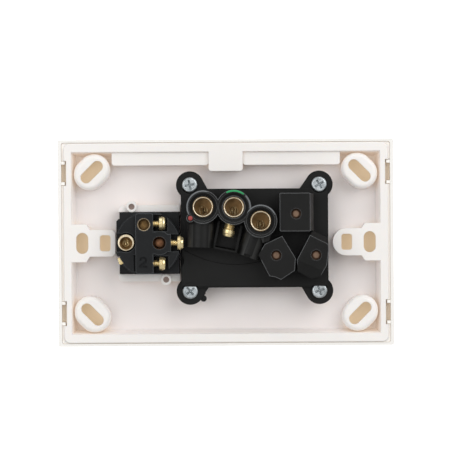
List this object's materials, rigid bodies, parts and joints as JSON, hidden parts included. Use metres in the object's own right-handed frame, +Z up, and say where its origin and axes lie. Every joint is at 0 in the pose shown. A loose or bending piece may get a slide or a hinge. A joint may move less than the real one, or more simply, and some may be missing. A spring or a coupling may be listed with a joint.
{
  "type": "socket outlet",
  "caption": "Switched wall socket outlet for flat three-pin plugs, with clip-fitted cover, rocker, open back, black terminal block and brass screw terminals.",
  "frame": {"origin": "centre of the plate in the plane of the rim's back face, which is the wall plane", "axes": "+Z up, +Y out of the back into the wall, the front with the rocker faces -Y, X along the plate's length"},
  "size_m": [0.1168, 0.0282, 0.072],
  "materials": {
    "white_plastic": "satin moulded white",
    "black_plastic": "satin moulded black",
    "insulating_plate": "matt",
    "black_nylon": "matt",
    "spring_steel": "drawn wire",
    "zinc_screw": "bright zinc plated",
    "copper_alloy": "rolled strip",
    "brass": "turned brass"
  },
  "bodies": {
    "base": {"base_plate": "white_plastic", "socket_body": "black_plastic", "switch_base": "black_plastic", "switch_body": "black_plastic", "socket_front_plate": "insulating_plate", "socket_fixing_screws": "zinc_screw", "active_contact": "copper_alloy", "neutral_contact": "copper_alloy", "earth_contact": "copper_alloy", "fixed_contact_one": "copper_alloy", "fixed_contact_two": "copper_alloy", "common_strip": "copper_alloy", "active_terminal": "brass", "earth_terminal": "brass", "neutral_terminal": "brass", "switch_tube_one": "brass", "switch_tube_two": "brass", "switch_tube_common": "brass", "loop_terminal": "brass", "loop_strip": "brass"},
    "cover": {"cover_plate": "white_plastic"},
    "rocker": {"rocker": "white_plastic", "rocker_plunger": "black_nylon", "rocker_spring": "spring_steel"},
    "moving_contact": {"moving_contact": "copper_alloy"},
    "active_screw": {"active_terminal_screw": "brass"},
    "earth_screw": {"earth_terminal_screw": "brass"},
    "neutral_screw": {"neutral_terminal_screw": "brass"},
    "switch_screw_one": {"switch_screw_one": "brass"},
    "switch_screw_two": {"switch_screw_two": "brass"},
    "switch_screw_common": {"switch_screw_common": "brass"}
  },
  "joints": [
    {"name": "cover_release", "type": "slide", "parent": "base", "child": "cover", "axis": [0, -1, 0], "range_m": [0, 0.02]},
    {"name": "rocker_tilt", "type": "hinge", "parent": "base", "child": "rocker", "pos_m": [0.027, -0.0086, 0], "axis": [1, 0, 0], "range_deg": [0, 13]},
    {"name": "contact_tilt", "type": "hinge", "parent": "base", "child": "moving_contact", "pos_m": [0.0274, 0.00575, 0], "axis": [1, 0, 0], "range_deg": [-14.01, 0.01]},
    {"name": "active_screw_drive", "type": "slide", "parent": "base", "child": "active_screw", "axis": [-0.0349, 0, 0.9994], "range_m": [0, 0.0014]},
    {"name": "earth_screw_drive", "type": "slide", "parent": "base", "child": "earth_screw", "axis": [-0.2079, 0, 0.9781], "range_m": [0, 0.0014]},
    {"name": "neutral_screw_drive", "type": "slide", "parent": "base", "child": "neutral_screw", "axis": [-0.3502, 0, 0.9367], "range_m": [0, 0.0014]},
    {"name": "switch_screw_one_drive", "type": "slide", "parent": "base", "child": "switch_screw_one", "axis": [1, 0, 0], "range_m": [0, 0.0019]},
    {"name": "switch_screw_two_drive", "type": "slide", "parent": "base", "child": "switch_screw_two", "axis": [1, 0, 0], "range_m": [0, 0.0019]},
    {"name": "switch_screw_common_drive", "type": "slide", "parent": "base", "child": "switch_screw_common", "axis": [1, 0, 0], "range_m": [0, 0.0021]}
  ],
  "couplings": [
    {"joint": "contact_tilt", "follows": "rocker_tilt", "ratio": -1.0769}
  ]
}
